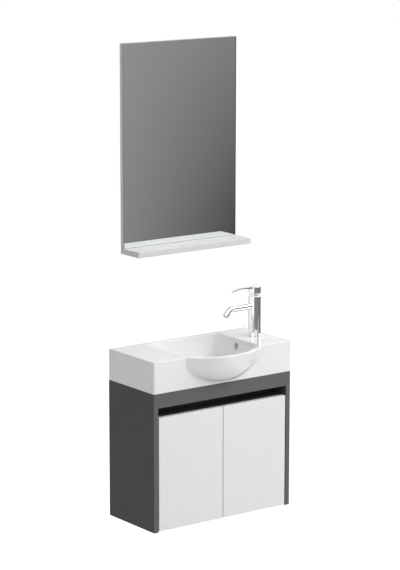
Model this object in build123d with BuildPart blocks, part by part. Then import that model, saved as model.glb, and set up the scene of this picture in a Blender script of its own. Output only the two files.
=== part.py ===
"""Wall-hung vanity unit: ceramic basin, cabinet with two doors, mixer tap, and a mirror with a shelf.

Millimetres. x runs along the wall, y = 0 is the wall and -y the room, z is up.
The origin is the middle of the line of the two wall screws that carry the cabinet.
"""
import os
from math import cos, radians, sin, sqrt, tan

from build123d import *

os.makedirs("parts", exist_ok=True)

# Cabinet
cabinet_inset = 1
cabinet_height = 496.5
cabinet_top = 60
panel = 18
board = 16
fascia_height = 51
grip_height = 35
channel_from_drain = 36
finger_gap = 16
back_recess = 18
rear_rail_height = 120
foot_rail_height = 80
shelf_drop = 290
shelf_front_gap = 16
shelf_end_gap = 1
fit_gap = 0.3
running_gap = 0.05

# Wooden dowels and shelf pins
dowel_radius = 4
dowel_length = 30
dowel_bite = 11
dowel_from_edge = 45
pin_radius = 2.5
pin_length = 16
pin_from_edge = 35
pin_step = 32

# Doors
door_thickness = 18
door_side_gap = 3
door_middle_gap = 3
door_foot_gap = 2.5
door_back_gap = 2
door_edge_round = 1.5
bumper_radius = 4
bumper_from_middle = 25

# Concealed hinges
hinge_inset = 75
cup_radius = 17.5
cup_depth = 12.5
cup_wall = 1
cup_from_edge = 21.5
flange_width = 34
flange_height = 62
flange_corner = 4
cup_screw_spacing = 50
arm_height = 16
arm_thickness = 5
nose_from_edge = 17.5
nose_depth = 11
crank_run = 20
plate_thickness = 2
plate_height = 44
plate_length = 30
plate_from_door = 37
plate_screw_spacing = 32
screw_radius = 1.75
screw_length = 11
screw_head_radius = 3.4
screw_head_height = 1.8

# Wall fixing
rail_end_gap = 3
rail_thickness = 2
rail_foot = 14
rail_step_height = 10
rail_lip = 26
rail_offset = 4
wall_screw_from_end = 38
wall_screw_radius = 3.5
hook_thickness = 2.5
hook_height = 9
hook_drop = 10
hook_reach = 64
hanger_width = 16
hanger_height = 48
hanger_length = 46
hanger_top_gap = 2

# Basin
basin_width = 600
basin_depth = 276
basin_height = 113
bulge_reach = 69
deck_wall = 14
apron_wall = 11
basin_edge_round = 3.5
basin_corner_round = 5
basin_foot_round = 2.5
crease_round = 5
bulge_half_width = 166
bulge_drop = 103
fullness = 2.2
rim_width = 14
back_ledge = 20
opening_half_width = 162
opening_setback = 17
bowl_depth = 88
bowl_wall = 12
cavity_drop = 94
floor_round = 22
wall_draft = 7
bowl_corner_round = 16
rim_corner_round = 6
fittings_shift = 1

# Overflow
overflow_radius = 12
overflow_drop = 27.6
duct_half_width = 14
duct_space = 7
duct_wall = 4.5
duct_bend = 40

# Waste
drain_radius = 23
drain_boss_radius = 36
flange_radius = 32
flange_thickness = 3
waste_radius = 20.9
waste_bore = 18
waste_length = 73
waste_slot_height = 8
waste_slot_width = 12
plug_radius = 29
plug_thickness = 4
plug_stem_radius = 4
plug_stem_length = 38
guide_radius = 7
guide_height = 12
guide_drop = 35
waste_nut_height = 10
waste_nut_flats = 58
gasket_thickness = 3

# Bottle trap
pipe_radius = 16
pipe_wall = 1.4
spigot_radius = 15.4
pipe_collar = 19.5
pipe_collar_thickness = 3
trap_radius = 31
trap_wall = 3
trap_nut_radius = 25.5
trap_nut_height = 24
trap_nut_grip = 10
trap_neck_radius = 21
trap_neck_height = 14
neck_nut_height = 14
neck_nut_grip = 8
trap_head_drop = 84
trap_head_height = 57
trap_ring_height = 14
trap_ring_wall = 3
trap_cup_height = 60
trap_dip = 150
trap_outlet_drop = 112
branch_length = 52
pipe_end_gap = 2

# Mixer tap; heights are measured from the basin's deck
tap_from_side = 58
tap_radius = 22
tap_gasket_thickness = 1
tap_shoulder = 146.5
tap_top = 150
tap_neck_radius = 19
tap_bore = 17.8
tap_hole_radius = 17.5
spout_radius = 12
spout_bore = 8.5
spout_height = 111
spout_run = 97
spout_bend = 36
spout_turn = 53
spout_tail = 12
aerator_radius = 10.4
aerator_length = 8
aerator_hole_radius = 1.6
inlet_radius = 4.5
inlet_depth = 14
inlet_spread = 15
inlet_shift = 6
waterway_radius = 4.2
stud_radius = 4
stud_shift = 9
stud_length = 46
stud_grip = 14
washer_radius = 24
washer_thickness = 3
washer_slot_radius = 13.5
washer_slot_shift = 10
stud_nut_flats = 13
stud_nut_height = 6.5

# Tap cartridge, turning core and lever
cartridge_bottom = 112
cartridge_top = 145.7
core_bottom = 140
core_flange_radius = 14
core_flange_top = 145.4
core_radius = 12
core_top = 153
lift_height = 150
pivot_radius = 1.5
stem_side = 8
stem_bottom = 138
stem_top = 181
stem_swing = 9.5
collar_top = 156.5
collar_radius = 18.5
collar_bore = 13
collar_round = 2.5
cap_bottom = 157.5
cap_top = 184
cap_wall = 2.7
cap_roof = 10
cap_edge_round = 2
socket_radius = 8.5
socket_bottom = 160
lever_reach = 107
lever_root_drop = 1
lever_root_thickness = 7
lever_bend_share = 0.42
lever_bend_drop = 0.8
lever_bend_thickness = 4.4
lever_nose_share = 0.8
lever_nose_drop = 3.3
lever_nose_thickness = 3.1
lever_tip_drop = 11
lever_tip_thickness = 2.4
lever_tip_slant = 2
lever_tip_corner = 7.3
lever_root_width = 26
lever_tip_width = 16
lever_screw_radius = 2.5
lever_screw_height = 168

# Mirror with shelf
mirror_width = 490
mirror_height = 737
mirror_gap = 333
mirror_board_thickness = 16
glass_thickness = 4
glass_bevel = 1
mirror_shelf_depth = 110
mirror_shelf_thickness = 20
mirror_shelf_round = 1
shelf_screw_from_side = 65
shelf_screw_length = 45
hanger_plate_width = 30
hanger_plate_height = 60
hanger_plate_thickness = 1.5
hanger_from_side = 65
hanger_drop = 60
hanger_hole_radius = 3
hanger_pocket_depth = 8

# Levels and places that follow from the sizes above
cabinet_width = basin_width - 2 * cabinet_inset
cabinet_depth = basin_depth - cabinet_inset
basin_reach = basin_depth + bulge_reach
opening_front = basin_depth - opening_setback
fittings_depth = basin_depth / 2 + fittings_shift
deck_z = cabinet_top + basin_height
cabinet_bottom = cabinet_top - cabinet_height
inner_half = cabinet_width / 2 - panel
rail_length = 2 * (inner_half - rail_end_gap)
wall_screw_x = rail_length / 2 - wall_screw_from_end
door_top = cabinet_top - fascia_height - grip_height
door_bottom = cabinet_bottom + door_foot_gap
door_height = door_top - door_bottom
door_outer = inner_half - door_side_gap
door_width = door_outer - door_middle_gap / 2
door_back = -cabinet_depth + door_thickness
carcass_front = door_back + door_back_gap
floor_top = cabinet_bottom + panel
channel_top = door_top - door_back_gap
channel_back_front = -fittings_depth - channel_from_drain - board
channel_board_front = door_back + finger_gap
rear_rail_front = -back_recess - board
shelf_top = cabinet_top - shelf_drop
hinge_levels = (door_top - hinge_inset, door_bottom + hinge_inset)
plate_y = door_back + plate_from_door
bowl_floor = deck_z - bowl_depth
drain_foot = cabinet_top + 1
waste_end = bowl_floor - waste_length
trap_head_top = waste_end - trap_head_drop
trap_head_bottom = trap_head_top - trap_head_height
trap_outlet_z = waste_end - trap_outlet_drop
pipe_bore = pipe_radius - pipe_wall
hook_x = inner_half - hanger_width / 2
hanger_z = cabinet_top - hanger_top_gap
tap_x = basin_width / 2 - tap_from_side
deck_underside = deck_z - deck_wall
mirror_bottom = deck_z + mirror_gap
mirror_top = mirror_bottom + mirror_height
mirror_shelf_top = mirror_bottom + mirror_shelf_thickness
sides = (-1, 1)


def swell_at(depth, drop):
    """Share of its full size that a rounded form still has at a depth below the deck."""
    return (1 - (depth / drop) ** fullness) ** (1 / fullness)


def floor_inset(depth):
    """How far the bowl's walls have come in: a slight draft, then the rounded corner of the floor."""
    below = max(depth - (bowl_depth - floor_round), 0)
    return wall_draft * depth / bowl_depth + floor_round - sqrt(floor_round**2 - below**2)


def bowl_outline(depth, wall=0):
    """Level outline of the bowl's inside, or of the ceramic round it."""
    swell = swell_at(depth, cavity_drop)
    front_half = opening_half_width * swell + wall
    back_half = opening_half_width - floor_inset(depth) + wall
    back_y = wall - back_ledge - floor_inset(depth)
    reach = opening_front + (basin_reach - rim_width - opening_front) * swell + wall
    with BuildLine() as edge:
        ThreePointArc((-front_half, -opening_front), (0, -reach), (front_half, -opening_front))
        Line((front_half, -opening_front), (back_half, back_y))
        Line((back_half, back_y), (-back_half, back_y))
        Line((-back_half, back_y), (-front_half, -opening_front))
    make_face(edge.edges())


def bulge_outline(depth):
    """Level outline of the part of the bowl that stands out past the flat front."""
    swell = swell_at(depth, bulge_drop)
    half = bulge_half_width * swell
    reach = basin_depth + (basin_reach - basin_depth) * swell
    with BuildLine() as edge:
        ThreePointArc((-half, -basin_depth), (0, -reach), (half, -basin_depth))
        Line((half, -basin_depth), (half, -opening_front))
        Line((half, -opening_front), (-half, -opening_front))
        Line((-half, -opening_front), (-half, -basin_depth))
    make_face(edge.edges())


def at_drain(z):
    """Level plane on the axis of the drain."""
    return Plane((0, -fittings_depth, z))


def at_tap(height):
    """Level plane on the axis of the tap, at a height above the deck."""
    return Plane((tap_x, -fittings_depth, deck_z + height))


def board_across(front, back, bottom, top, half_width=inner_half):
    """Flat board that runs from side to side of the cabinet."""
    with BuildSketch(Plane.YZ.offset(-half_width)) as section:
        with Locations(((front + back) / 2, (bottom + top) / 2)):
            Rectangle(back - front, top - bottom)
    extrude(section.sketch, amount=2 * half_width)


def ring(plane, outer, inner, height):
    """Plain ring with its foot on a plane."""
    with BuildSketch(plane) as section:
        Circle(outer)
        Circle(inner, mode=Mode.SUBTRACT)
    extrude(section.sketch, amount=height)


def pipe_nut(plane, inner):
    """Twelve-sided nut that is screwed over the end of a neck and closes round a pipe."""
    with BuildSketch(plane.offset(-neck_nut_grip)) as section:
        RegularPolygon(trap_nut_radius, 12, major_radius=False)
        Circle(inner + running_gap, mode=Mode.SUBTRACT)
    extrude(section.sketch, amount=neck_nut_height)
    with BuildSketch(plane.offset(-neck_nut_grip)) as thread:
        Circle(trap_neck_radius + running_gap)
    extrude(thread.sketch, amount=neck_nut_grip, mode=Mode.SUBTRACT)


# Dowels, and the holes that take them in the side panels and the boards
dowel_spots = [
    (-cabinet_depth + panel / 2, cabinet_top - fascia_height / 2),
    (carcass_front + dowel_from_edge, floor_top - panel / 2),
    (-dowel_from_edge, floor_top - panel / 2),
    (channel_board_front + board, channel_top - board / 2),
    (channel_back_front + board / 2, cabinet_top - dowel_from_edge),
    (rear_rail_front + board / 2, cabinet_top - rear_rail_height + board),
    (rear_rail_front + board / 2, floor_top + foot_rail_height / 2),
]

with BuildPart() as dowels:
    with BuildSketch(Plane.YZ.offset(inner_half + dowel_bite)):
        with Locations(*dowel_spots):
            Circle(dowel_radius)
    extrude(amount=-dowel_length)
    mirror(about=Plane.YZ)

with BuildPart() as dowel_holes:
    with BuildSketch(Plane.YZ.offset(inner_half + dowel_bite + fit_gap)):
        with Locations(*dowel_spots):
            Circle(dowel_radius + running_gap)
    extrude(amount=-dowel_length - 2 * fit_gap)
    mirror(about=Plane.YZ)

# Shelf pins, and the three rows of holes that take them
pin_rows = (carcass_front + pin_from_edge, -pin_from_edge - back_recess)
pin_z = shelf_top - board - pin_radius

with BuildPart() as shelf_pins:
    with BuildSketch(Plane.YZ.offset(inner_half + pin_length / 2)):
        with Locations(*[(y, pin_z) for y in pin_rows]):
            Circle(pin_radius)
    extrude(amount=-pin_length)
    mirror(about=Plane.YZ)

with BuildPart() as pin_holes:
    with BuildSketch(Plane.YZ.offset(inner_half + pin_length / 2 + fit_gap)):
        with Locations(*[(y, pin_z + n * pin_step) for y in pin_rows for n in (-1, 0, 1)]):
            Circle(pin_radius + running_gap)
    extrude(amount=-pin_length)
    mirror(about=Plane.YZ)

# Screws of the hinge plates, with flat heads on the plates
plate_screw_spots = [(plate_y, z + s * plate_screw_spacing / 2) for z in hinge_levels for s in sides]

with BuildPart() as hinge_screws:
    with BuildSketch(Plane.YZ.offset(inner_half - plate_thickness)):
        with Locations(*plate_screw_spots):
            Circle(screw_radius)
    extrude(amount=screw_length)
    with BuildSketch(Plane.YZ.offset(inner_half - plate_thickness)):
        with Locations(*plate_screw_spots):
            Circle(screw_head_radius)
    extrude(amount=-screw_head_height)
    mirror(about=Plane.YZ)

# Side panels
with BuildPart() as side_panel_right:
    with BuildSketch(Plane.YZ.offset(inner_half)):
        with Locations((-cabinet_depth / 2, cabinet_top - cabinet_height / 2)):
            Rectangle(cabinet_depth, cabinet_height)
    extrude(amount=panel)
    add(dowel_holes.part, mode=Mode.SUBTRACT)
    add(pin_holes.part, mode=Mode.SUBTRACT)
    add(hinge_screws.part, mode=Mode.SUBTRACT)

with BuildPart() as side_panel_left:
    add(side_panel_right.part)
    mirror(about=Plane.YZ, mode=Mode.REPLACE)

# Boards between the side panels
with BuildPart() as bottom_panel:
    board_across(carcass_front, 0, cabinet_bottom, floor_top)
    add(dowel_holes.part, mode=Mode.SUBTRACT)

with BuildPart() as front_rail:
    board_across(-cabinet_depth, -cabinet_depth + panel, cabinet_top - fascia_height, cabinet_top)
    add(dowel_holes.part, mode=Mode.SUBTRACT)

with BuildPart() as channel_floor:
    board_across(channel_board_front, channel_back_front + board, channel_top - board, channel_top)
    add(dowel_holes.part, mode=Mode.SUBTRACT)

with BuildPart() as channel_back:
    board_across(channel_back_front, channel_back_front + board, channel_top, cabinet_top)
    add(dowel_holes.part, mode=Mode.SUBTRACT)

hook_slot_z = rail_lip + hook_height / 2

with BuildPart() as top_rear_rail:
    board_across(rear_rail_front, -back_recess, cabinet_top - rear_rail_height, cabinet_top)
    add(dowel_holes.part, mode=Mode.SUBTRACT)
    with BuildSketch(Plane.XZ.offset(back_recess)):
        with Locations((-hook_x, hook_slot_z), (hook_x, hook_slot_z)):
            Rectangle(2 * hook_thickness, 2 * hook_height)
    extrude(amount=board, mode=Mode.SUBTRACT)

with BuildPart() as bottom_rear_rail:
    board_across(rear_rail_front, -back_recess, floor_top, floor_top + foot_rail_height)
    add(dowel_holes.part, mode=Mode.SUBTRACT)

with BuildPart() as inner_shelf:
    shelf_half = inner_half - shelf_end_gap
    board_across(door_back + shelf_front_gap, -back_recess, shelf_top - board, shelf_top, shelf_half)

# Small bumpers that the doors close against
with BuildPart() as door_bumpers:
    with BuildSketch(Plane.XZ.offset(-carcass_front)):
        with Locations((-bumper_from_middle, floor_top - panel / 2), (bumper_from_middle, floor_top - panel / 2)):
            Circle(bumper_radius)
    extrude(amount=door_back_gap - fit_gap)

# Steel rail on the wall, stepped forward so that the hooks can drop in behind its lip
with BuildPart() as wall_rail:
    with BuildSketch(Plane.YZ.offset(-rail_length / 2)):
        with BuildLine():
            Polyline(
                (0, -rail_foot),
                (0, rail_step_height),
                (-rail_offset, rail_step_height + rail_thickness),
                (-rail_offset, rail_lip),
                (-rail_offset - rail_thickness, rail_lip),
                (-rail_offset - rail_thickness, rail_step_height + rail_thickness / 2),
                (-rail_thickness, rail_step_height - rail_thickness / 2),
                (-rail_thickness, -rail_foot),
                close=True,
            )
        make_face()
    extrude(amount=rail_length)
    with BuildSketch(Plane.XZ):
        with Locations((-wall_screw_x, 0), (wall_screw_x, 0)):
            Circle(wall_screw_radius)
    extrude(amount=rail_thickness, mode=Mode.SUBTRACT)

# Hooks that reach through the rear rail and hang on the wall rail's lip
with BuildPart() as hanger_hooks:
    with BuildSketch(Plane.YZ.offset(hook_x - hook_thickness / 2)):
        with BuildLine():
            Polyline(
                (-hook_reach, rail_lip),
                (-hook_reach, rail_lip + hook_height),
                (-fit_gap, rail_lip + hook_height),
                (-fit_gap, rail_lip - hook_drop),
                (-fit_gap - hook_thickness, rail_lip - hook_drop),
                (-fit_gap - hook_thickness, rail_lip),
                close=True,
            )
        make_face()
    extrude(amount=hook_thickness)
    mirror(about=Plane.YZ)

adjuster_spots = [(hook_x, hanger_z - hanger_height / 4), (hook_x, hanger_z - 3 * hanger_height / 4)]

with BuildPart() as hanger_screws:
    with BuildSketch(Plane.XZ.offset(-rear_rail_front + hanger_length - screw_length / 2)):
        with Locations(*adjuster_spots):
            Circle(screw_head_radius)
    extrude(amount=screw_length / 2)
    mirror(about=Plane.YZ)

# Plastic bodies of the hangers, on the side panels in front of the rear rail
with BuildPart() as cabinet_hangers:
    with BuildSketch(Plane.YZ.offset(inner_half - hanger_width)):
        with Locations((rear_rail_front - hanger_length / 2, hanger_z - hanger_height / 2)):
            Rectangle(hanger_length, hanger_height)
    extrude(amount=hanger_width)
    fillet(cabinet_hangers.edges().filter_by(Axis.X).group_by(Axis.Y)[0], hanger_width / 4)
    with BuildSketch(Plane.YZ.offset(hook_x - hook_thickness / 2)):
        with Locations(((rear_rail_front - hook_reach) / 2, hook_slot_z)):
            Rectangle(hook_reach + rear_rail_front, 2 * hook_height)
    extrude(amount=hook_thickness, mode=Mode.SUBTRACT)
    mirror(about=Plane.YZ)
    add(hanger_screws.part, mode=Mode.SUBTRACT)

# Hinge plates on the side panels, and the cranked arms that reach into the cups
with BuildPart() as hinge_plates:
    with BuildSketch(Plane.YZ.offset(inner_half)):
        with Locations(*[(plate_y, z) for z in hinge_levels]):
            RectangleRounded(plate_length, plate_height, flange_corner)
    extrude(amount=-plate_thickness)
    mirror(about=Plane.YZ)
    add(hinge_screws.part, mode=Mode.SUBTRACT)

arm_wall = inner_half - plate_thickness
arm_nose = door_outer - nose_from_edge
arm_end_y = plate_y + plate_length / 2
arm_crank_y = door_back + arm_thickness
arm_rest_y = arm_crank_y + crank_run
with BuildPart() as hinge_arms:
    with BuildSketch(Plane.XY.offset(hinge_levels[0] - arm_height / 2)) as arm_section:
        with BuildLine():
            Polyline(
                (arm_wall, arm_end_y),
                (arm_wall, arm_rest_y),
                (arm_nose, arm_crank_y),
                (arm_nose, -cabinet_depth + nose_depth),
                (arm_nose - arm_thickness, -cabinet_depth + nose_depth),
                (arm_nose - arm_thickness, arm_crank_y + arm_thickness / 2),
                (arm_wall - arm_thickness, arm_rest_y + arm_thickness),
                (arm_wall - arm_thickness, arm_end_y),
                close=True,
            )
        make_face()
    extrude(amount=arm_height)
    mirror(about=Plane.XY.offset((hinge_levels[0] + hinge_levels[1]) / 2))
    mirror(about=Plane.YZ)

# Cups in the doors, with a flange on the door's inner face
cup_x = door_outer - cup_from_edge
cup_spots = [(cup_x, z) for z in hinge_levels]
cup_screw_spots = [(cup_x, z + s * cup_screw_spacing / 2) for z in hinge_levels for s in sides]

with BuildPart() as hinge_cups_right:
    with BuildSketch(Plane.XZ.offset(-door_back)):
        with Locations(*cup_spots):
            RectangleRounded(flange_width, flange_height, flange_corner)
    extrude(amount=-cup_wall)
    with BuildSketch(Plane.XZ.offset(-door_back)):
        with Locations(*cup_spots):
            Circle(cup_radius)
    extrude(amount=cup_depth)
    with BuildSketch(Plane.XZ.offset(-door_back - cup_wall)):
        with Locations(*cup_spots):
            Circle(cup_radius - cup_wall)
    extrude(amount=cup_depth, mode=Mode.SUBTRACT)
    with BuildSketch(Plane.XZ.offset(-door_back - cup_wall)):
        with Locations(*cup_screw_spots):
            Circle(screw_radius)
    extrude(amount=cup_wall, mode=Mode.SUBTRACT)

with BuildPart() as hinge_cups_left:
    add(hinge_cups_right.part)
    mirror(about=Plane.YZ, mode=Mode.REPLACE)

with BuildPart() as cup_screws_right:
    with BuildSketch(Plane.XZ.offset(-door_back - cup_wall)):
        with Locations(*cup_screw_spots):
            Circle(screw_radius)
    extrude(amount=screw_length)
    with BuildSketch(Plane.XZ.offset(-door_back - cup_wall)):
        with Locations(*cup_screw_spots):
            Circle(screw_head_radius)
    extrude(amount=-screw_head_height)

with BuildPart() as cup_screws_left:
    add(cup_screws_right.part)
    mirror(about=Plane.YZ, mode=Mode.REPLACE)

# Doors
with BuildPart() as door_right:
    with BuildSketch(Plane.XZ.offset(-door_back)):
        with Locations((door_outer - door_width / 2, door_bottom + door_height / 2)):
            Rectangle(door_width, door_height)
    extrude(amount=door_thickness)
    fillet(door_right.edges(), door_edge_round)
    with BuildSketch(Plane.XZ.offset(-door_back)):
        with Locations(*cup_spots):
            Circle(cup_radius)
    extrude(amount=cup_depth, mode=Mode.SUBTRACT)
    add(cup_screws_right.part, mode=Mode.SUBTRACT)

with BuildPart() as door_left:
    add(door_right.part)
    mirror(about=Plane.YZ, mode=Mode.REPLACE)

# Basin: a hollow slab with a bowl whose rounded front bulges out past the flat front
duct_x = opening_half_width + bowl_wall + duct_space
duct_z = drain_foot + duct_wall
overflow_z = deck_z - overflow_drop

with BuildPart() as basin:
    with BuildSketch(Plane.XY.offset(cabinet_top)):
        with Locations((0, -basin_depth / 2)):
            RectangleRounded(basin_width, basin_depth, basin_corner_round)
    extrude(amount=basin_height)
    with BuildSketch(Plane.XY.offset(cabinet_top)):
        with Locations((0, -basin_depth / 2)):
            Rectangle(basin_width - 2 * apron_wall, basin_depth - 2 * apron_wall)
    extrude(amount=basin_height - deck_wall, mode=Mode.SUBTRACT)
    for share in (0, 0.21, 0.43, 0.6, 0.74, 0.845, 0.92, 0.976):
        with BuildSketch(Plane.XY.offset(deck_z - share * bulge_drop)):
            bulge_outline(share * bulge_drop)
    loft()
    crease = (
        basin.edges()
        .filter_by_position(Axis.Y, -basin_depth - fit_gap, -basin_depth + fit_gap)
        .filter_by_position(Axis.X, -bulge_half_width, bulge_half_width)
        .filter_by_position(Axis.Z, cabinet_top + basin_foot_round, deck_z - basin_edge_round)
    )
    fillet(crease, crease_round)
    for share in (0.08, 0.34, 0.57, 0.75, 0.886, 0.966, 1.13):
        with BuildSketch(Plane.XY.offset(deck_z - share * bowl_depth)):
            bowl_outline(min(share, 1) * bowl_depth, bowl_wall)
    loft()
    # Boss round the drain, and the wall of the duct that leads the overflow down to it
    with BuildSketch(at_drain(drain_foot)):
        Circle(drain_boss_radius)
    extrude(amount=bowl_floor - drain_foot)
    with BuildSketch(Plane.XZ.offset(fittings_depth)) as duct:
        with BuildLine():
            Polyline(
                (0, drain_foot),
                (duct_x + duct_wall, drain_foot),
                (duct_x + duct_wall, deck_z - deck_wall / 2),
                (opening_half_width, deck_z - deck_wall / 2),
                (opening_half_width - bowl_wall - wall_draft, bowl_floor),
                (0, bowl_floor),
                close=True,
            )
        make_face()
        fillet(duct.vertices().group_by(Axis.X)[-1].sort_by(Axis.Y)[0], duct_bend + duct_wall)
    extrude(amount=duct_half_width + duct_wall, both=True)
    # Inside of the bowl
    for share in (0, 0.23, 0.43, 0.61, 0.75, 0.86, 0.94, 1):
        with BuildSketch(Plane.XY.offset(deck_z - share * bowl_depth)) as level:
            bowl_outline(share * bowl_depth)
            fillet(level.vertices().group_by(Axis.Y)[-1], bowl_corner_round)
            fillet(level.vertices().group_by(Axis.Y)[0], rim_corner_round)
    loft(mode=Mode.SUBTRACT)
    fillet(basin.faces().filter_by(Axis.Z).group_by(Axis.Z)[-1].edges(), basin_edge_round)
    fillet(basin.faces().filter_by(Axis.Z).sort_by(Axis.Z)[0].outer_wire().edges(), basin_foot_round)
    # Water space of the duct, and the overflow hole that leads into it
    with BuildSketch(Plane.XZ.offset(fittings_depth)) as duct:
        with BuildLine():
            Polyline(
                (0, duct_z),
                (duct_x, duct_z),
                (duct_x, deck_underside),
                (duct_x - duct_space, deck_underside),
                (duct_x - duct_space, duct_z + duct_space),
                (0, duct_z + duct_space),
                close=True,
            )
        make_face()
        fillet(duct.vertices().group_by(Axis.X)[1].sort_by(Axis.Y)[0], duct_bend - duct_space)
        fillet(duct.vertices().group_by(Axis.X)[-1].sort_by(Axis.Y)[0], duct_bend)
    extrude(amount=duct_half_width, both=True, mode=Mode.SUBTRACT)
    with BuildSketch(Plane.YZ.offset(duct_x - duct_space / 2)):
        with Locations((-fittings_depth, overflow_z)):
            Circle(overflow_radius)
    extrude(amount=-duct_space - 3 * bowl_wall, mode=Mode.SUBTRACT)
    # Drain with a seat for the waste's flange, and the hole for the tap
    with BuildSketch(at_drain(drain_foot)):
        Circle(drain_radius)
    extrude(amount=bowl_depth, mode=Mode.SUBTRACT)
    with BuildSketch(at_drain(bowl_floor - flange_thickness)):
        Circle(flange_radius + fit_gap)
    extrude(amount=bowl_depth, mode=Mode.SUBTRACT)
    with BuildSketch(at_tap(0)):
        Circle(tap_hole_radius)
    extrude(amount=-deck_wall, mode=Mode.SUBTRACT)

# Waste: a threaded tube with a flange, slots for the overflow's water and a guide for the plug
with BuildPart() as waste_body:
    with BuildSketch(Plane.XZ.offset(fittings_depth)):
        with BuildLine():
            Polyline(
                (waste_bore, waste_end),
                (waste_radius, waste_end),
                (waste_radius, bowl_floor - flange_thickness),
                (flange_radius, bowl_floor - flange_thickness),
                (flange_radius, bowl_floor),
                (waste_bore + flange_thickness, bowl_floor),
                (waste_bore, bowl_floor - flange_thickness),
                close=True,
            )
        make_face()
    revolve(axis=Axis((0, -fittings_depth, 0), (0, 0, 1)))
    with BuildSketch(at_drain(bowl_floor - guide_drop)):
        Circle(guide_radius)
        with PolarLocations(waste_bore / 2, 3):
            Rectangle(waste_bore + 1, flange_thickness)
        Circle(plug_stem_radius + running_gap, mode=Mode.SUBTRACT)
    extrude(amount=guide_height)
    with BuildSketch(Plane.YZ.offset(-waste_radius)):
        with Locations((-fittings_depth, duct_z + duct_space / 2)):
            Rectangle(waste_slot_width, waste_slot_height)
    extrude(amount=2 * waste_radius, mode=Mode.SUBTRACT)

with BuildPart() as waste_plug:
    with BuildSketch(at_drain(bowl_floor + fit_gap)):
        Circle(plug_radius)
    extrude(amount=plug_thickness)
    fillet(waste_plug.edges().sort_by(Axis.Z)[-1], plug_thickness / 2)
    with BuildSketch(at_drain(bowl_floor + fit_gap)):
        Circle(plug_stem_radius)
    extrude(amount=-plug_stem_length)

with BuildPart() as waste_gasket:
    ring(at_drain(drain_foot), flange_radius, waste_radius + running_gap, -gasket_thickness)

with BuildPart() as waste_nut:
    with BuildSketch(at_drain(drain_foot - gasket_thickness)):
        RegularPolygon(waste_nut_flats / 2, 6, major_radius=False)
        Circle(waste_radius + running_gap, mode=Mode.SUBTRACT)
    extrude(amount=-waste_nut_height)

# Bottle trap under the waste, with its outlet towards the wall
with BuildPart() as trap_union_nut:
    with BuildSketch(at_drain(waste_end + trap_nut_grip)):
        RegularPolygon(trap_nut_radius, 12, major_radius=False)
        Circle(pipe_radius + running_gap, mode=Mode.SUBTRACT)
    extrude(amount=-trap_nut_height)
    with BuildSketch(at_drain(waste_end + trap_nut_grip)):
        Circle(waste_radius + running_gap)
    extrude(amount=-trap_nut_grip - pipe_collar_thickness, mode=Mode.SUBTRACT)

with BuildPart() as trap_inlet_pipe:
    ring(at_drain(waste_end), pipe_radius, pipe_bore, -trap_dip)
    ring(at_drain(waste_end), pipe_collar, pipe_bore, -pipe_collar_thickness)

with BuildPart() as trap_head:
    with BuildSketch(at_drain(trap_head_bottom)):
        Circle(trap_radius)
    extrude(amount=trap_head_height)
    fillet(trap_head.edges().sort_by(Axis.Z)[-1], trap_wall)
    with BuildSketch(at_drain(trap_head_top)):
        Circle(trap_neck_radius)
    extrude(amount=trap_neck_height)
    with BuildSketch(Plane.XZ.offset(fittings_depth)):
        with Locations((0, trap_outlet_z)):
            Circle(trap_neck_radius)
    extrude(amount=-branch_length)
    with BuildSketch(at_drain(trap_head_bottom)):
        Circle(trap_radius - trap_wall)
    extrude(amount=trap_head_height - trap_wall, mode=Mode.SUBTRACT)
    with BuildSketch(at_drain(trap_head_top)):
        Circle(pipe_radius + running_gap)
    extrude(amount=trap_head_height, both=True, mode=Mode.SUBTRACT)
    with BuildSketch(Plane.XZ.offset(fittings_depth)):
        with Locations((0, trap_outlet_z)):
            Circle(spigot_radius + running_gap)
    extrude(amount=-branch_length, mode=Mode.SUBTRACT)

with BuildPart() as trap_top_nut:
    pipe_nut(at_drain(trap_head_top + trap_neck_height), pipe_radius)

with BuildPart() as trap_ring:
    with BuildSketch(at_drain(trap_head_bottom - trap_ring_height / 2)):
        RegularPolygon(trap_radius + trap_ring_wall, 12, major_radius=False)
        Circle(trap_radius + running_gap, mode=Mode.SUBTRACT)
    extrude(amount=trap_ring_height)

with BuildPart() as trap_cup:
    with BuildSketch(at_drain(trap_head_bottom)):
        Circle(trap_radius)
    extrude(amount=-trap_cup_height)
    fillet(trap_cup.edges().sort_by(Axis.Z)[0], 2 * trap_wall)
    with BuildSketch(at_drain(trap_head_bottom)):
        Circle(trap_radius - trap_wall)
    extrude(amount=-trap_cup_height + trap_wall, mode=Mode.SUBTRACT)

# The outlet pipe's end inside the trap is turned down, and its shoulder stands against the nut
outlet_start = -fittings_depth + trap_radius - trap_wall
outlet_shoulder = branch_length + neck_nut_height - neck_nut_grip - fittings_depth
outlet_end = Plane.XZ.shift_origin((0, 0, trap_outlet_z)).offset(pipe_end_gap)

with BuildPart() as trap_outlet_pipe:
    ring(outlet_end, pipe_radius, pipe_bore, -outlet_shoulder - pipe_end_gap)
    ring(outlet_end, spigot_radius, pipe_bore, -outlet_start - pipe_end_gap)

with BuildPart() as trap_outlet_nut:
    nut_seat = Plane((0, branch_length - fittings_depth, trap_outlet_z), x_dir=(1, 0, 0), z_dir=(0, 1, 0))
    pipe_nut(nut_seat, spigot_radius)

# Mixer tap, with a round spout that bends down towards the bowl
spout_lead = spout_bend * tan(radians(spout_turn) / 2)
spout_corner = Vector(tap_x - spout_run - spout_lead, -fittings_depth, deck_z + spout_height)
spout_fall = Vector(-cos(radians(spout_turn)), 0, -sin(radians(spout_turn)))
with BuildLine() as spout_path:
    FilletPolyline(
        (tap_x - spout_bore, -fittings_depth, deck_z + spout_height),
        spout_corner,
        spout_corner + spout_fall * (spout_lead + spout_tail),
        radius=spout_bend,
    )
spout_wire = spout_path.wires()[0]
spout_end = Plane(origin=spout_wire @ 1, z_dir=spout_wire % 1)

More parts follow.
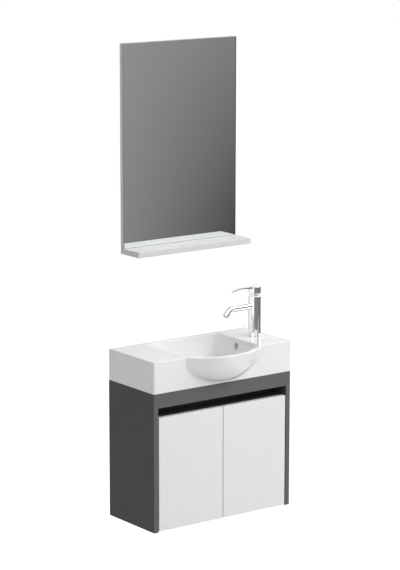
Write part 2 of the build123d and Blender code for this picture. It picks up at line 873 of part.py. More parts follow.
with BuildPart() as tap_body:
    with BuildSketch(at_tap(tap_gasket_thickness)):
        Circle(tap_radius)
    extrude(amount=tap_shoulder - tap_gasket_thickness)
    with BuildSketch(at_tap(tap_shoulder)):
        Circle(tap_radius)
    with BuildSketch(at_tap(tap_top)):
        Circle(tap_neck_radius)
    loft()
    with BuildSketch(Plane(origin=spout_wire @ 0, z_dir=spout_wire % 0)):
        Circle(spout_radius)
    sweep(path=spout_wire)
    with BuildSketch(at_tap(cartridge_bottom)):
        Circle(tap_bore)
    extrude(amount=tap_top - cartridge_bottom, mode=Mode.SUBTRACT)
    with BuildSketch(Plane(origin=spout_wire @ 0, z_dir=spout_wire % 0)):
        Circle(spout_bore)
    sweep(path=spout_wire, mode=Mode.SUBTRACT)
    with BuildSketch(spout_end):
        Circle(aerator_radius)
    extrude(amount=-aerator_length, mode=Mode.SUBTRACT)
    # Threaded inlets with their waterways, and the blind hole of the stud
    with BuildSketch(at_tap(tap_gasket_thickness)):
        with Locations((-inlet_shift, -inlet_spread / 2), (-inlet_shift, inlet_spread / 2)):
            Circle(inlet_radius)
    extrude(amount=inlet_depth, mode=Mode.SUBTRACT)
    with BuildSketch(at_tap(tap_gasket_thickness)):
        with Locations((-inlet_shift, -inlet_spread / 2), (-inlet_shift, inlet_spread / 2)):
            Circle(waterway_radius)
    extrude(amount=cartridge_bottom - tap_gasket_thickness, mode=Mode.SUBTRACT)
    with BuildSketch(at_tap(tap_gasket_thickness)):
        with Locations((stud_shift, 0)):
            Circle(stud_radius)
    extrude(amount=stud_grip, mode=Mode.SUBTRACT)

with BuildPart() as aerator:
    with BuildSketch(spout_end):
        Circle(aerator_radius)
        Circle(spout_bore, mode=Mode.SUBTRACT)
    extrude(amount=-aerator_length)
    with BuildSketch(spout_end.offset(-aerator_length / 2)):
        Circle(aerator_radius)
        with PolarLocations(spout_bore * 0.6, 6):
            Circle(aerator_hole_radius, mode=Mode.SUBTRACT)
        Circle(aerator_hole_radius, mode=Mode.SUBTRACT)
    extrude(amount=aerator_length / 4)

with BuildPart() as tap_gasket:
    ring(at_tap(0), tap_radius - fit_gap, tap_hole_radius - fit_gap, tap_gasket_thickness)

with BuildPart() as tap_stud:
    with BuildSketch(at_tap(tap_gasket_thickness + stud_grip)):
        with Locations((stud_shift, 0)):
            Circle(stud_radius)
    extrude(amount=-stud_length)

with BuildPart() as tap_washer:
    with BuildSketch(at_tap(-deck_wall)):
        Circle(washer_radius)
        with Locations((stud_shift, 0)):
            Circle(stud_radius + running_gap, mode=Mode.SUBTRACT)
        with Locations((-washer_slot_shift, 0)):
            Circle(washer_slot_radius, mode=Mode.SUBTRACT)
        with Locations((-washer_slot_shift - washer_radius / 2, 0)):
            Rectangle(washer_radius, 2 * washer_slot_radius, mode=Mode.SUBTRACT)
    extrude(amount=-washer_thickness)

with BuildPart() as tap_nut:
    with BuildSketch(at_tap(-deck_wall - washer_thickness)):
        with Locations((stud_shift, 0)):
            RegularPolygon(stud_nut_flats / 2, 6, major_radius=False)
            Circle(stud_radius + running_gap, mode=Mode.SUBTRACT)
    extrude(amount=-stud_nut_height)

# Cartridge in the top of the tap, held down by its nut under a domed collar
with BuildPart() as tap_cartridge:
    with BuildSketch(at_tap(cartridge_bottom)):
        Circle(tap_bore - running_gap)
    extrude(amount=cartridge_top - cartridge_bottom)
    with BuildSketch(at_tap(cartridge_top)):
        Circle(core_flange_radius + running_gap)
    extrude(amount=core_bottom - fit_gap - cartridge_top, mode=Mode.SUBTRACT)
    with BuildSketch(at_tap(cartridge_top)):
        Circle(stem_swing)
    extrude(amount=stem_bottom - stem_side / 2 - cartridge_top, mode=Mode.SUBTRACT)

with BuildPart() as cartridge_nut:
    ring(at_tap(cartridge_top), tap_bore - running_gap, core_radius + running_gap, tap_top - cartridge_top)

with BuildPart() as tap_collar:
    ring(at_tap(tap_top), collar_radius, collar_bore, collar_top - tap_top)
    fillet(tap_collar.faces().sort_by(Axis.Z)[-1].outer_wire().edges(), collar_round)

# Core that turns in the cartridge, with a slot for the stem and the pin that the stem tilts on
pivot_plane = Plane.XZ.shift_origin((tap_x, 0, deck_z + lift_height)).offset(fittings_depth)

with BuildPart() as pivot_pin:
    with BuildSketch(pivot_plane):
        Circle(pivot_radius)
    extrude(amount=core_radius - fit_gap, both=True)

with BuildPart() as tap_core:
    with BuildSketch(at_tap(core_bottom)):
        Circle(core_flange_radius)
    extrude(amount=core_flange_top - core_bottom)
    with BuildSketch(at_tap(core_bottom)):
        Circle(core_radius)
    extrude(amount=core_top - core_bottom)
    with BuildSketch(at_tap(core_bottom)):
        Rectangle(2 * stem_side, stem_side + 2 * running_gap)
    extrude(amount=core_top - core_bottom, mode=Mode.SUBTRACT)
    add(pivot_pin.part, mode=Mode.SUBTRACT)

# Stem and lever
with BuildPart() as tap_stem:
    with BuildSketch(at_tap(stem_bottom)):
        Rectangle(stem_side, stem_side)
    extrude(amount=stem_top - stem_bottom)
    with BuildSketch(pivot_plane):
        Circle(pivot_radius + running_gap)
    extrude(amount=stem_side, both=True, mode=Mode.SUBTRACT)

lever_side = Plane((tap_x, -fittings_depth, deck_z), x_dir=(-1, 0, 0), z_dir=(0, 1, 0))
lever_plan = Plane((tap_x, -fittings_depth, deck_z + lift_height), x_dir=(-1, 0, 0))

with BuildPart() as lever_blade:
    with BuildSketch(lever_side):
        with BuildLine():
            upper = Spline(
                (0, cap_top - lever_root_drop),
                (lever_bend_share * lever_reach, cap_top - lever_bend_drop),
                (lever_nose_share * lever_reach, cap_top - lever_nose_drop),
                (lever_reach, cap_top - lever_tip_drop),
            )
            lower = Spline(
                (0, cap_top - lever_root_drop - lever_root_thickness),
                (lever_bend_share * lever_reach, cap_top - lever_bend_drop - lever_bend_thickness),
                (lever_nose_share * lever_reach, cap_top - lever_nose_drop - lever_nose_thickness),
                (lever_reach - lever_tip_slant, cap_top - lever_tip_drop - lever_tip_thickness),
            )
            Line(upper @ 0, lower @ 0)
            Line(upper @ 1, lower @ 1)
        make_face()
    extrude(amount=lever_root_width, both=True)
    with BuildSketch(lever_plan) as plan:
        with BuildLine():
            Polyline(
                (0, -lever_root_width / 2),
                (lever_reach, -lever_tip_width / 2),
                (lever_reach, lever_tip_width / 2),
                (0, lever_root_width / 2),
                close=True,
            )
        make_face()
        fillet(plan.vertices().group_by(Axis.X)[0], lever_tip_corner)
    extrude(amount=cap_top - lift_height, mode=Mode.INTERSECT)

screw_plane = Plane((tap_x + stem_side / 2, -fittings_depth, deck_z + lever_screw_height), z_dir=(1, 0, 0))

with BuildPart() as tap_lever:
    with BuildSketch(at_tap(cap_bottom)):
        Circle(tap_radius)
    extrude(amount=cap_top - cap_bottom)
    fillet(tap_lever.edges(), cap_edge_round)
    add(lever_blade.part)
    with BuildSketch(at_tap(cap_bottom)):
        Circle(tap_radius - cap_wall)
    extrude(amount=cap_top - cap_roof - cap_bottom, mode=Mode.SUBTRACT)
    with BuildSketch(at_tap(socket_bottom)):
        Circle(socket_radius)
    extrude(amount=cap_top - cap_roof - socket_bottom)
    with BuildSketch(at_tap(socket_bottom)):
        Rectangle(stem_side, stem_side)
    extrude(amount=stem_top - socket_bottom, mode=Mode.SUBTRACT)
    with BuildSketch(screw_plane):
        Circle(lever_screw_radius)
    extrude(amount=tap_radius, mode=Mode.SUBTRACT)

with BuildPart() as lever_screw:
    with BuildSketch(screw_plane):
        Circle(lever_screw_radius)
    extrude(amount=socket_radius - stem_side / 2)

# Mirror: a backing board with two hanging plates, the glass, and a shelf screwed on from behind
shelf_screw_x = mirror_width / 2 - shelf_screw_from_side
shelf_screw_spots = [(n * shelf_screw_x, mirror_bottom + mirror_shelf_thickness / 2) for n in (-1, 0, 1)]
hanger_x = mirror_width / 2 - hanger_from_side
hanger_spots = [(s * hanger_x, mirror_top - hanger_drop) for s in sides]

with BuildPart() as mirror_shelf_screws:
    with BuildSketch(Plane.XZ.offset(fit_gap)):
        with Locations(*shelf_screw_spots):
            Circle(screw_radius)
    extrude(amount=shelf_screw_length)
    with BuildSketch(Plane.XZ.offset(fit_gap)):
        with Locations(*shelf_screw_spots):
            Circle(screw_head_radius)
    extrude(amount=screw_head_height)

with BuildPart() as mirror_hangers:
    with BuildSketch(Plane.XZ):
        with Locations(*hanger_spots):
            RectangleRounded(hanger_plate_width, hanger_plate_height, flange_corner)
            Circle(hanger_hole_radius, mode=Mode.SUBTRACT)
    extrude(amount=hanger_plate_thickness)

with BuildPart() as mirror_board:
    with BuildSketch(Plane.XZ):
        with Locations((0, mirror_bottom + mirror_height / 2)):
            Rectangle(mirror_width, mirror_height)
    extrude(amount=mirror_board_thickness)
    with BuildSketch(Plane.XZ):
        with Locations(*hanger_spots):
            RectangleRounded(hanger_plate_width, hanger_plate_height, flange_corner)
    extrude(amount=hanger_plate_thickness, mode=Mode.SUBTRACT)
    with BuildSketch(Plane.XZ):
        with Locations(*hanger_spots):
            Rectangle(hanger_plate_width / 2, hanger_plate_width)
    extrude(amount=hanger_pocket_depth, mode=Mode.SUBTRACT)
    with BuildSketch(Plane.XZ):
        with Locations(*shelf_screw_spots):
            Circle(screw_head_radius)
    extrude(amount=fit_gap + screw_head_height, mode=Mode.SUBTRACT)
    add(mirror_shelf_screws.part, mode=Mode.SUBTRACT)

with BuildPart() as mirror_glass:
    with BuildSketch(Plane.XZ.offset(mirror_board_thickness)):
        with Locations((0, (mirror_shelf_top + fit_gap + mirror_top) / 2)):
            Rectangle(mirror_width, mirror_top - mirror_shelf_top - fit_gap)
    extrude(amount=glass_thickness)
    chamfer(mirror_glass.faces().sort_by(Axis.Y)[0].edges(), glass_bevel)

with BuildPart() as mirror_shelf:
    with BuildSketch(Plane.XZ.offset(mirror_board_thickness)):
        with Locations((0, mirror_bottom + mirror_shelf_thickness / 2)):
            Rectangle(mirror_width, mirror_shelf_thickness)
    extrude(amount=mirror_shelf_depth - mirror_board_thickness)
    fillet(mirror_shelf.faces().sort_by(Axis.Y)[0].edges(), mirror_shelf_round)
    add(mirror_shelf_screws.part, mode=Mode.SUBTRACT)

pieces = {
    "side_panel_left": side_panel_left,
    "side_panel_right": side_panel_right,
    "bottom_panel": bottom_panel,
    "front_rail": front_rail,
    "channel_floor": channel_floor,
    "channel_back": channel_back,
    "top_rear_rail": top_rear_rail,
    "bottom_rear_rail": bottom_rear_rail,
    "inner_shelf": inner_shelf,
    "shelf_pins": shelf_pins,
    "dowels": dowels,
    "door_bumpers": door_bumpers,
    "wall_rail": wall_rail,
    "hanger_hooks": hanger_hooks,
    "hanger_screws": hanger_screws,
    "cabinet_hangers": cabinet_hangers,
    "hinge_plates": hinge_plates,
    "hinge_arms": hinge_arms,
    "hinge_screws": hinge_screws,
    "hinge_cups_left": hinge_cups_left,
    "hinge_cups_right": hinge_cups_right,
    "cup_screws_left": cup_screws_left,
    "cup_screws_right": cup_screws_right,
    "door_left": door_left,
    "door_right": door_right,
    "basin": basin,
    "waste_body": waste_body,
    "waste_plug": waste_plug,
    "waste_gasket": waste_gasket,
    "waste_nut": waste_nut,
    "trap_union_nut": trap_union_nut,
    "trap_inlet_pipe": trap_inlet_pipe,
    "trap_head": trap_head,
    "trap_top_nut": trap_top_nut,
    "trap_ring": trap_ring,
    "trap_cup": trap_cup,
    "trap_outlet_pipe": trap_outlet_pipe,
    "trap_outlet_nut": trap_outlet_nut,
    "tap_body": tap_body,
    "aerator": aerator,
    "tap_gasket": tap_gasket,
    "tap_stud": tap_stud,
    "tap_washer": tap_washer,
    "tap_nut": tap_nut,
    "tap_cartridge": tap_cartridge,
    "cartridge_nut": cartridge_nut,
    "tap_collar": tap_collar,
    "tap_core": tap_core,
    "pivot_pin": pivot_pin,
    "tap_stem": tap_stem,
    "tap_lever": tap_lever,
    "lever_screw": lever_screw,
    "mirror_board": mirror_board,
    "mirror_glass": mirror_glass,
    "mirror_shelf": mirror_shelf,
    "mirror_shelf_screws": mirror_shelf_screws,
    "mirror_hangers": mirror_hangers,
}
for name, piece in pieces.items():
    piece.part.label = name
    export_step(piece.part, f"parts/{name}.step")
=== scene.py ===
"""Looks of the wall-hung vanity unit: materials, camera, stage and light.

Everything is in metres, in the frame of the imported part: x along the wall, y = 0 the wall, z up.
"""
from math import pi, radians

import bpy
from mathutils import Matrix, Vector


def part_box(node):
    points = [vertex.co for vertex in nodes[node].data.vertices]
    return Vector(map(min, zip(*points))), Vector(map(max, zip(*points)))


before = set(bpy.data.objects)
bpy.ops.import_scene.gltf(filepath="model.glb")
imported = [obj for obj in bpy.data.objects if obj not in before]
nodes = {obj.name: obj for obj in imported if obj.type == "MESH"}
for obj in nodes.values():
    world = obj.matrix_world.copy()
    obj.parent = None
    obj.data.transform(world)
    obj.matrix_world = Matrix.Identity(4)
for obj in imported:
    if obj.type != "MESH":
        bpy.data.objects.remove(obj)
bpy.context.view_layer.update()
bpy.context.scene.view_settings.view_transform = "Standard"

# Colours, as linear values
CERAMIC = (0.88, 0.88, 0.875)
DOOR_WHITE = (0.867, 0.867, 0.867)
BOARD_WHITE = (0.697, 0.701, 0.697)
CARCASS_GREY = (0.074, 0.074, 0.077)
# Lighter grey of the carcass fronts: an edge band, with painted light that brightens the fronts against the
# darker sides
EDGE_BAND_AND_LIGHT_GREY = (0.138, 0.134, 0.142)
CHROME = (0.86, 0.87, 0.88)
NICKEL = (0.66, 0.65, 0.62)
ZINC = (0.55, 0.57, 0.60)
BRASS = (0.72, 0.55, 0.28)
SILVER = (0.90, 0.92, 0.915)
GLASS_EDGE = (0.22, 0.31, 0.28)
# Darker grey of the mirror's left and right rims
DARK_RIM_GREY = (0.07, 0.08, 0.085)
BEECH = (0.62, 0.42, 0.24)
BEECH_DARK = (0.46, 0.29, 0.15)
TRAP_WHITE = (0.74, 0.74, 0.73)
HANGER_GREY = (0.36, 0.37, 0.38)
CARTRIDGE_GREY = (0.50, 0.51, 0.53)
AERATOR_GREY = (0.30, 0.31, 0.33)
RUBBER_BLACK = (0.018, 0.018, 0.019)
RUBBER_CLEAR = (0.70, 0.70, 0.68)

# Fine details of the surfaces: pinholes of the glaze in cells of their pattern, the rest in metres
PINHOLES_PER_METRE = 38
PINHOLE_TONE = 0.22
PINHOLE_CORE = 0.008
PINHOLE_RIM = 0.014
BAND_SOFTNESS = 2e-4
MIRROR_RIM = 0.0035
MIRROR_RIM_SOFTNESS = 6e-4


# Node helpers
def new_material(name):
    """Material with a node tree, and its main shader."""
    material = bpy.data.materials.new(name)
    material.use_nodes = True
    return material, material.node_tree, material.node_tree.nodes["Principled BSDF"]


def position(tree):
    """Place on the piece, in metres; it moves with the piece."""
    return tree.nodes.new("ShaderNodeTexCoord").outputs["Object"]


def stretched(tree, source, factors):
    """Coordinates scaled along each axis, for grain that runs one way."""
    node = tree.nodes.new("ShaderNodeMapping")
    node.inputs["Scale"].default_value = factors
    tree.links.new(source, node.inputs["Vector"])
    return node.outputs["Vector"]


def noise(tree, source, scale, detail=3, roughness=0.55):
    """Soft random value from 0 to 1; the scale is in features per metre."""
    node = tree.nodes.new("ShaderNodeTexNoise")
    node.inputs["Scale"].default_value = scale
    node.inputs["Detail"].default_value = detail
    node.inputs["Roughness"].default_value = roughness
    tree.links.new(source, node.inputs["Vector"])
    return node.outputs["Fac"]


def spread(tree, value, low, high, start=0.3, end=0.7):
    """Value mapped from start..end to low..high."""
    node = tree.nodes.new("ShaderNodeMapRange")
    node.inputs["From Min"].default_value = start
    node.inputs["From Max"].default_value = end
    node.inputs["To Min"].default_value = low
    node.inputs["To Max"].default_value = high
    tree.links.new(value, node.inputs["Value"])
    return node.outputs["Result"]


def blend_colours(tree, share, first, second):
    """Colour between two colours or colour sockets."""
    node = tree.nodes.new("ShaderNodeMix")
    node.data_type = "RGBA"
    tree.links.new(share, node.inputs["Factor"])
    for name, colour in (("A", first), ("B", second)):
        socket = next(s for s in node.inputs if s.name == name and s.type == "RGBA")
        if isinstance(colour, tuple):
            socket.default_value = (*colour, 1)
        else:
            tree.links.new(colour, socket)
    return next(s for s in node.outputs if s.type == "RGBA")


def coordinate(tree, source, axis):
    """One coordinate of a position: 0, 1 or 2."""
    node = tree.nodes.new("ShaderNodeSeparateXYZ")
    tree.links.new(source, node.inputs["Vector"])
    return node.outputs[axis]


def relief(tree, shader, height, depth):
    """Fine surface relief of a depth in metres."""
    node = tree.nodes.new("ShaderNodeBump")
    node.inputs["Strength"].default_value = 1
    node.inputs["Distance"].default_value = depth
    tree.links.new(height, node.inputs["Height"])
    tree.links.new(node.outputs["Normal"], shader.inputs["Normal"])


def tint(colour, factor):
    """The same colour, darker or lighter."""
    return tuple(min(c * factor, 1) for c in colour)


def finish_of(name, colour, roughness, metallic=0.0, patch=9, variation=0.04, wear=0.25, grain=900,
              grain_depth=2e-6, coat=0.0, along=(1, 1, 1)):
    """General finish: patches of slightly different colour, uneven gloss, and a fine grain in relief."""
    material, tree, shader = new_material(name)
    place = stretched(tree, position(tree), along)
    patches = noise(tree, place, patch)
    darker = tint(colour, 1 - variation)
    lighter = tint(colour, 1 + variation)
    tree.links.new(
        blend_colours(tree, spread(tree, patches, 0, 1), darker, lighter),
        shader.inputs["Base Color"],
    )
    gloss = noise(tree, place, patch * 6, detail=4)
    tree.links.new(
        spread(tree, gloss, roughness * (1 - wear), roughness * (1 + wear)),
        shader.inputs["Roughness"],
    )
    relief(tree, shader, noise(tree, place, grain, detail=2), grain_depth)
    shader.inputs["Metallic"].default_value = metallic
    shader.inputs["Coat Weight"].default_value = coat
    shader.inputs["Coat Roughness"].default_value = 0.05
    return material


def glazed_ceramic():
    """White glaze: long soft waves, a fine orange peel, and rare pinholes."""
    material, tree, shader = new_material("glazed_ceramic")
    place = position(tree)
    clouds = noise(tree, place, 5, detail=2)
    base = blend_colours(tree, spread(tree, clouds, 0, 1), tint(CERAMIC, 0.985), tint(CERAMIC, 1.01))
    pinholes = tree.nodes.new("ShaderNodeTexVoronoi")
    pinholes.inputs["Scale"].default_value = PINHOLES_PER_METRE
    tree.links.new(place, pinholes.inputs["Vector"])
    speck = spread(tree, pinholes.outputs["Distance"], PINHOLE_TONE, 0, PINHOLE_CORE, PINHOLE_RIM)
    tree.links.new(blend_colours(tree, speck, base, tint(CERAMIC, 0.7)), shader.inputs["Base Color"])
    tree.links.new(spread(tree, noise(tree, place, 60), 0.10, 0.17), shader.inputs["Roughness"])
    waves = tree.nodes.new("ShaderNodeMath")
    waves.operation = "MULTIPLY_ADD"
    tree.links.new(noise(tree, place, 26, detail=1), waves.inputs[0])
    waves.inputs[1].default_value = 14
    tree.links.new(noise(tree, place, 420, detail=1), waves.inputs[2])
    relief(tree, shader, waves.outputs["Value"], 2.5e-6)
    shader.inputs["IOR"].default_value = 1.5
    shader.inputs["Coat Weight"].default_value = 0.35
    shader.inputs["Coat Roughness"].default_value = 0.04
    return material


def lacquered_board(name, colour, edge_band_and_light_colour=None, edge_y=None, roughness=0.32, gloss=0.4):
    """Lacquered board: orange peel of the spray, faint mottling, and a lighter band on its front: edging,
    with painted light that makes the front brighter than the sides.
    """
    material, tree, shader = new_material(name)
    place = position(tree)
    mottled = blend_colours(
        tree, spread(tree, noise(tree, place, 14, detail=4), 0, 1), tint(colour, 0.994), tint(colour, 1.004)
    )
    # Front band: edging, with painted light that makes the front faces brighter than the sides
    if edge_band_and_light_colour:
        on_edge = spread(tree, coordinate(tree, place, 1), 1, 0, edge_y, edge_y + BAND_SOFTNESS)
        mottled = blend_colours(tree, on_edge, mottled, edge_band_and_light_colour)
    tree.links.new(mottled, shader.inputs["Base Color"])
    tree.links.new(
        spread(tree, noise(tree, place, 90), roughness * 0.85, roughness * 1.15),
        shader.inputs["Roughness"],
    )
    relief(tree, shader, noise(tree, place, 650, detail=2), 1e-6)
    shader.inputs["Specular IOR Level"].default_value = gloss
    return material


def beech_wood():
    """Turned beech: long fibres along x, with short darker flecks."""
    material, tree, shader = new_material("beech")
    fibres = noise(tree, stretched(tree, position(tree), (25, 500, 500)), 1, detail=5)
    flecks = noise(tree, stretched(tree, position(tree), (140, 1400, 1400)), 1, detail=1)
    wood = blend_colours(tree, spread(tree, fibres, 0, 1), BEECH_DARK, BEECH)
    tree.links.new(
        blend_colours(tree, spread(tree, flecks, 0, 0.7, 0.62, 0.7), wood, tint(BEECH_DARK, 0.6)),
        shader.inputs["Base Color"],
    )
    shader.inputs["Roughness"].default_value = 0.6
    relief(tree, shader, fibres, 3e-5)
    return material


def zinc_coat():
    """Zinc-plated steel: crystals of slightly different tone, with fine drawing lines."""
    material, tree, shader = new_material("zinc_steel")
    place = position(tree)
    crystals = tree.nodes.new("ShaderNodeTexVoronoi")
    crystals.inputs["Scale"].default_value = 260
    tree.links.new(place, crystals.inputs["Vector"])
    tone = coordinate(tree, crystals.outputs["Color"], 0)
    tree.links.new(blend_colours(tree, tone, tint(ZINC, 0.86), tint(ZINC, 1.12)), shader.inputs["Base Color"])
    tree.links.new(spread(tree, tone, 0.28, 0.42, 0, 1), shader.inputs["Roughness"])
    relief(tree, shader, noise(tree, stretched(tree, place, (60, 2600, 2600)), 1, detail=2), 4e-6)
    shader.inputs["Metallic"].default_value = 1
    return material


def mirror_plate():
    """Silvered glass: clear in front, darker along its left and right rims, green ground edges."""
    material, tree, shader = new_material("mirror")
    low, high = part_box("mirror_glass")
    place = position(tree)
    on_edge = spread(tree, coordinate(tree, place, 1), 0, 1, low.y + 1e-4, low.y + 2e-4)
    # Darker bands along the left and right ends of the face, the right one wider
    right_end = high.x - MIRROR_RIM
    at_right = spread(tree, coordinate(tree, place, 0), 0, 1, right_end - MIRROR_RIM_SOFTNESS, right_end)
    left_end = low.x + MIRROR_RIM / 3
    at_left = spread(tree, coordinate(tree, place, 0), 1, 0, left_end, left_end + 4e-4)
    rims = tree.nodes.new("ShaderNodeMath")
    rims.operation = "MAXIMUM"
    tree.links.new(at_right, rims.inputs[0])
    tree.links.new(at_left, rims.inputs[1])
    haze = noise(tree, place, 7, detail=2)
    silver = blend_colours(tree, spread(tree, haze, 0, 1), tint(SILVER, 0.985), SILVER)
    face = blend_colours(tree, rims.outputs["Value"], silver, DARK_RIM_GREY)
    tree.links.new(blend_colours(tree, on_edge, face, GLASS_EDGE), shader.inputs["Base Color"])
    tree.links.new(spread(tree, on_edge, 1, 0.2, 0, 1), shader.inputs["Metallic"])
    tree.links.new(spread(tree, on_edge, 0.012, 0.22, 0, 1), shader.inputs["Roughness"])
    return material


def rubber(name, colour, clear=0.0):
    """Soft moulded rubber with a dull, slightly pitted skin."""
    material, tree, shader = new_material(name)
    place = position(tree)
    patches = noise(tree, place, 120)
    tree.links.new(
        blend_colours(tree, spread(tree, patches, 0, 1), tint(colour, 0.85), tint(colour, 1.2)),
        shader.inputs["Base Color"],
    )
    tree.links.new(spread(tree, patches, 0.5, 0.72), shader.inputs["Roughness"])
    relief(tree, shader, noise(tree, place, 1800, detail=2), 1.2e-5)
    shader.inputs["Transmission Weight"].default_value = clear
    return material


materials = {
    # The carcass's front faces take the lighter grey, partly painted light
    "carcass": lacquered_board("carcass", CARCASS_GREY, EDGE_BAND_AND_LIGHT_GREY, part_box("side_panel_left")[0].y,
                               roughness=0.5, gloss=0.14),
    "door_white": lacquered_board("door_white", DOOR_WHITE, roughness=0.30),
    "board_white": lacquered_board("board_white", BOARD_WHITE, roughness=0.36),
    "beech": beech_wood(),
    "basin_ceramic": glazed_ceramic(),
    "chrome": finish_of("chrome", CHROME, 0.045, metallic=1, patch=30, variation=0.01, wear=0.4, grain=300,
                        grain_depth=4e-7),
    "nickel": finish_of("nickel", NICKEL, 0.24, metallic=1, patch=60, variation=0.06, grain=2200,
                        grain_depth=3e-6, along=(1, 1, 0.15)),
    "zinc_steel": zinc_coat(),
    "brass": finish_of("brass", BRASS, 0.27, metallic=1, patch=80, variation=0.08, grain=2600,
                       grain_depth=3e-6, along=(1, 1, 0.1)),
    "mirror": mirror_plate(),
    "trap_plastic": finish_of("trap_plastic", TRAP_WHITE, 0.38, patch=40, variation=0.03, grain=1500,
                              grain_depth=8e-6),
    "hanger_plastic": finish_of("hanger_plastic", HANGER_GREY, 0.5, patch=60, variation=0.06, grain=1800,
                                grain_depth=1.2e-5),
    "cartridge_plastic": finish_of("cartridge_plastic", CARTRIDGE_GREY, 0.45, patch=90, variation=0.05,
                                   grain=2000, grain_depth=1e-5),
    "aerator_plastic": finish_of("aerator_plastic", AERATOR_GREY, 0.42, patch=120, variation=0.05,
                                 grain=2400, grain_depth=1e-5),
    "black_rubber": rubber("black_rubber", RUBBER_BLACK),
    "clear_rubber": rubber("clear_rubber", RUBBER_CLEAR, clear=0.45),
}

# Each node's packed material bears the name of its slot, and gives way to that slot's own looks
for node in nodes.values():
    for place in node.material_slots:
        place.material = materials[place.material.name]


# Camera, from the photograph's corners
IMAGE_HEIGHT = 570
FOCAL_PIXELS = 2293.49
SENSOR = 36
camera_place = Vector((-4.70998, -6.52444, 1.98511))
camera_yaw = radians(36.3977)
camera_drop = radians(11.3797)
camera_roll = radians(0.0668)

camera_data = bpy.data.cameras.new("camera")
camera_data.sensor_fit = "VERTICAL"
camera_data.sensor_height = SENSOR
camera_data.lens = FOCAL_PIXELS * SENSOR / IMAGE_HEIGHT
camera_data.clip_end = 60
camera = bpy.data.objects.new("camera", camera_data)
bpy.context.scene.collection.objects.link(camera)
turn = Matrix.Rotation(-camera_yaw, 4, "Z")
tilt = Matrix.Rotation(pi / 2 - camera_drop, 4, "X")
lean = Matrix.Rotation(camera_roll, 4, "Z")
camera.matrix_world = Matrix.Translation(camera_place) @ turn @ tilt @ lean
bpy.context.scene.camera = camera


# Stage: a pale floor, and a sky that rays see as white and that fills the scene with softer light
WHITE = (1, 1, 1, 1)
FLOOR_Z = -0.677
FLOOR_HALF = 6
FLOOR_SHADE = 0.6
FLOOR_GLOW = 0.8
AMBIENT = 0.291


def seen_directly(tree):
    """1 for camera, glossy and transmission rays, which see the backdrop, and 0 for all other light."""
    path = tree.nodes.new("ShaderNodeLightPath")
    total = path.outputs["Is Camera Ray"]
    for name in ("Is Glossy Ray", "Is Transmission Ray"):
        node = tree.nodes.new("ShaderNodeMath")
        node.operation = "MAXIMUM"
        tree.links.new(total, node.inputs[0])
        tree.links.new(path.outputs[name], node.inputs[1])
        total = node.outputs["Value"]
    return total


world = bpy.data.worlds.new("studio")
bpy.context.scene.world = world
world.use_nodes = True
sky = world.node_tree
sky_shader = sky.nodes["Background"]
sky.links.new(spread(sky, seen_directly(sky), AMBIENT, 1, 0, 1), sky_shader.inputs["Strength"])
sky_shader.inputs["Color"].default_value = WHITE


def flat_piece(name, corners, material):
    """Flat stage piece through four corners."""
    mesh = bpy.data.meshes.new(name)
    mesh.from_pydata(corners, [], [(0, 1, 2, 3)])
    mesh.materials.append(material)
    piece = bpy.data.objects.new(name, mesh)
    bpy.context.scene.collection.objects.link(piece)
    return piece


def pale_floor():
    """Pale floor that the camera sees as white, with the object's shadow kept."""
    material, tree, shader = new_material("floor")
    shader.inputs["Base Color"].default_value = (FLOOR_SHADE, FLOOR_SHADE, FLOOR_SHADE, 1)
    shader.inputs["Roughness"].default_value = 0.9
    shader.inputs["Specular IOR Level"].default_value = 0.1
    shader.inputs["Emission Color"].default_value = WHITE
    glow = spread(tree, seen_directly(tree), 0, FLOOR_GLOW, 0, 1)
    tree.links.new(glow, shader.inputs["Emission Strength"])
    return material


flat_piece(
    "floor",
    [(-FLOOR_HALF, -FLOOR_HALF, FLOOR_Z), (FLOOR_HALF, -FLOOR_HALF, FLOOR_Z),
     (FLOOR_HALF, FLOOR_HALF, FLOOR_Z), (-FLOOR_HALF, FLOOR_HALF, FLOOR_Z)],
    pale_floor(),
)


# Cards that only glossy rays see: each runs between two points of the floor plan, from CARD_LOW up
CARD_LOW = -0.67
TALL = 2.2
LOW_TOP = 0.4
REAR_TOP = 0.1
MIRROR_CARD_LEFT = (0.4, -3.4)
MIRROR_CARD_RIGHT = (5.2, -3.4)
MIRROR_CARD_DIMS = (2.08, 2.82)
MIRROR_CARD_HEIGHTS = (-0.23, 0.86)
MIRROR_CARD_NEAR_SHADES = (0.243, 0.300)
MIRROR_CARD_FAR_SHADES = (0.074, 0.228)
TAP_CARD_LEFT = (-1.35, -1.6)
TAP_CARD_RIGHT = (0.45, -1.6)
TAP_CARD_SHADES = (0.22, 0.28)
SIDE_CARD_FRONT = (1.5, -1.6)
SIDE_CARD_REAR = (1.5, 0.8)
SIDE_CARD_SHADES = (0.2, 0.26)
REAR_CARD_LEFT = (-0.2, 2.6)
REAR_CARD_RIGHT = (3.4, 2.6)
REAR_CARD_SHADES = (0.05, 0.09)


def card_material(name, across, upright, near_shades, far_shades):
    """Shade that runs from bottom to top, and from the near shades to the far ones along x."""
    material, tree, shader = new_material(name)
    tree.nodes.remove(shader)
    emission = tree.nodes.new("ShaderNodeEmission")
    place = position(tree)
    height = coordinate(tree, place, 2)
    shade = tree.nodes.new("ShaderNodeMix")
    tree.links.new(spread(tree, coordinate(tree, place, 0), 0, 1, *across), shade.inputs[0])
    tree.links.new(spread(tree, height, *near_shades, *upright), shade.inputs[2])
    tree.links.new(spread(tree, height, *far_shades, *upright), shade.inputs[3])
    tree.links.new(shade.outputs[0], emission.inputs["Strength"])
    tree.links.new(emission.outputs["Emission"], tree.nodes["Material Output"].inputs["Surface"])
    return material


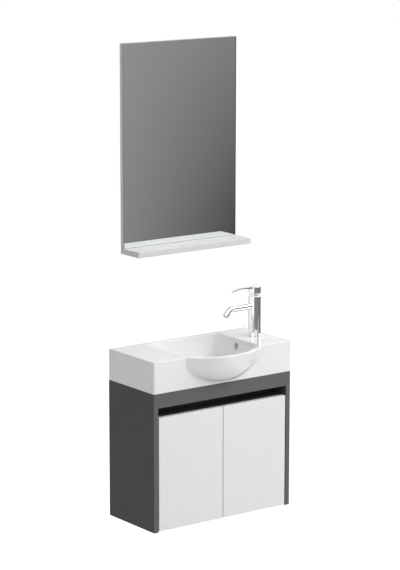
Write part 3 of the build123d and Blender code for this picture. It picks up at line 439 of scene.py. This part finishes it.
def card(name, start, end, top, near_shades, far_shades, across=(0, 1), upright=(CARD_LOW, TALL)):
    """Upright card that neither lights nor shades the object and that the camera doesn't see."""
    piece = flat_piece(
        name,
        [(*start, CARD_LOW), (*end, CARD_LOW), (*end, top), (*start, top)],
        card_material(name, across, upright, near_shades, far_shades),
    )
    piece.visible_camera = False
    piece.visible_diffuse = False
    piece.visible_shadow = False
    piece.visible_transmission = False


# The mirror reflects the first card towards the camera; the others give the chrome its greys and outlines
card("mirror_card", MIRROR_CARD_LEFT, MIRROR_CARD_RIGHT, TALL,
     MIRROR_CARD_NEAR_SHADES, MIRROR_CARD_FAR_SHADES, across=MIRROR_CARD_DIMS, upright=MIRROR_CARD_HEIGHTS)
card("tap_card", TAP_CARD_LEFT, TAP_CARD_RIGHT, LOW_TOP, TAP_CARD_SHADES, TAP_CARD_SHADES)
card("side_card", SIDE_CARD_FRONT, SIDE_CARD_REAR, LOW_TOP, SIDE_CARD_SHADES, SIDE_CARD_SHADES)
card("back_card", REAR_CARD_LEFT, REAR_CARD_RIGHT, REAR_TOP, REAR_CARD_SHADES, REAR_CARD_SHADES)


# Soft lamps: place in metres, and power in watts
LAMP_TARGET = Vector((0, -0.15, 0.2))
LAMP_SIZE = (2.4, 2.0)
RIGHT_LAMP_SIZE = (2.0, 2.0)
KEY_PLACE = Vector((2.2, -3.0, 3.4))
KEY_POWER = 88
FRONT_PLACE = Vector((0.2, -4.0, 2.2))
FRONT_POWER = 45
LEFT_PLACE = Vector((-4.0, -1.6, 2.0))
LEFT_POWER = 31
RIGHT_PLACE = Vector((4.0, -1.0, 1.8))
RIGHT_POWER = 63


def softbox(name, place, power, size=LAMP_SIZE):
    """Large soft lamp that points at the target."""
    data = bpy.data.lights.new(name, "AREA")
    data.shape = "RECTANGLE"
    data.size, data.size_y = size
    data.energy = power
    lamp = bpy.data.objects.new(name, data)
    bpy.context.scene.collection.objects.link(lamp)
    lamp.location = place
    lamp.rotation_euler = (LAMP_TARGET - place).to_track_quat("-Z", "Y").to_euler()


softbox("key", KEY_PLACE, KEY_POWER)
softbox("front", FRONT_PLACE, FRONT_POWER)
softbox("left", LEFT_PLACE, LEFT_POWER)
softbox("right", RIGHT_PLACE, RIGHT_POWER, RIGHT_LAMP_SIZE)
